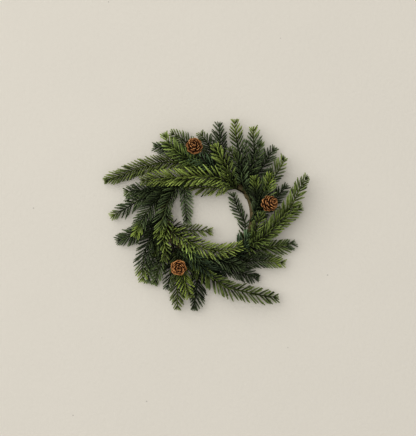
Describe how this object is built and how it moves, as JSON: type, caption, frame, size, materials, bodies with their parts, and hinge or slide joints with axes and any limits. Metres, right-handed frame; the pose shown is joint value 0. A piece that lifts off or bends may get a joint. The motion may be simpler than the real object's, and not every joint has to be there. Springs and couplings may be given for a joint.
{
  "type": "spruce candle ring",
  "caption": "Small round wreath of moulded spruce sprays with woody cones on a tape-wound ring, lying flat round a pillar candle.",
  "frame": {"origin": "on the surface that it lies on, under the middle of its outline", "axes": "+X along the widest way across the tips, +Z up out of the wreath's flat side; seen from above, with +Y up, the sprays sweep anticlockwise"},
  "size_m": [0.2797, 0.2595, 0.0469],
  "materials": {
    "needles_dark": "dark blue-green moulded needles, satin",
    "needles_teal": "teal-green moulded needles, satin",
    "needles_two_tone": "dark green moulded needles that turn yellow-green at the spray's end, satin",
    "needles_bright": "yellow-green moulded needles, satin",
    "needles_olive": "olive-green moulded needles, satin",
    "cone_scale": "dry orange-brown cone scales, dull, darker between",
    "floral_tape": "brown-olive waxed paper tape wound in a spiral",
    "wire": "dark brown coated binding wire"
  },
  "bodies": {
    "root": {"base_ring": "floral_tape", "spray_01": "needles_olive", "spray_02": "needles_bright", "spray_03": "needles_olive", "spray_04": "needles_bright", "spray_05": "needles_dark", "spray_06": "needles_bright", "spray_07": "needles_two_tone", "spray_08": "needles_two_tone", "spray_09": "needles_teal", "spray_10": "needles_dark", "spray_11": "needles_two_tone", "spray_12": "needles_two_tone", "spray_13": "needles_two_tone", "spray_14": "needles_dark", "spray_15": "needles_two_tone", "spray_16": "needles_two_tone", "spray_17": "needles_two_tone", "spray_18": "needles_two_tone", "spray_19": "needles_dark", "spray_20": "needles_bright", "spray_21": "needles_two_tone", "spray_22": "needles_bright", "spray_23": "needles_dark", "spray_24": "needles_two_tone", "spray_25": "needles_two_tone", "spray_26": "needles_dark", "spray_27": "needles_bright", "spray_28": "needles_bright", "spray_29": "needles_olive", "spray_30": "needles_dark", "spray_31": "needles_two_tone", "spray_32": "needles_bright", "spray_33": "needles_two_tone", "spray_34": "needles_dark", "spray_35": "needles_two_tone", "spray_36": "needles_dark", "spray_37": "needles_two_tone", "spray_38": "needles_two_tone", "spray_39": "needles_dark", "spray_40": "needles_dark", "spray_41": "needles_olive", "spray_42": "needles_two_tone", "spray_43": "needles_dark", "spray_44": "needles_teal", "spray_45": "needles_dark", "spray_46": "needles_dark", "spray_47": "needles_teal", "spray_48": "needles_dark", "spray_49": "needles_dark", "spray_50": "needles_dark", "cone_1": "cone_scale", "cone_2": "cone_scale", "cone_3": "cone_scale", "cone_1_wire": "wire", "cone_2_wire": "wire", "cone_3_wire": "wire"}
  },
  "joints": []
}
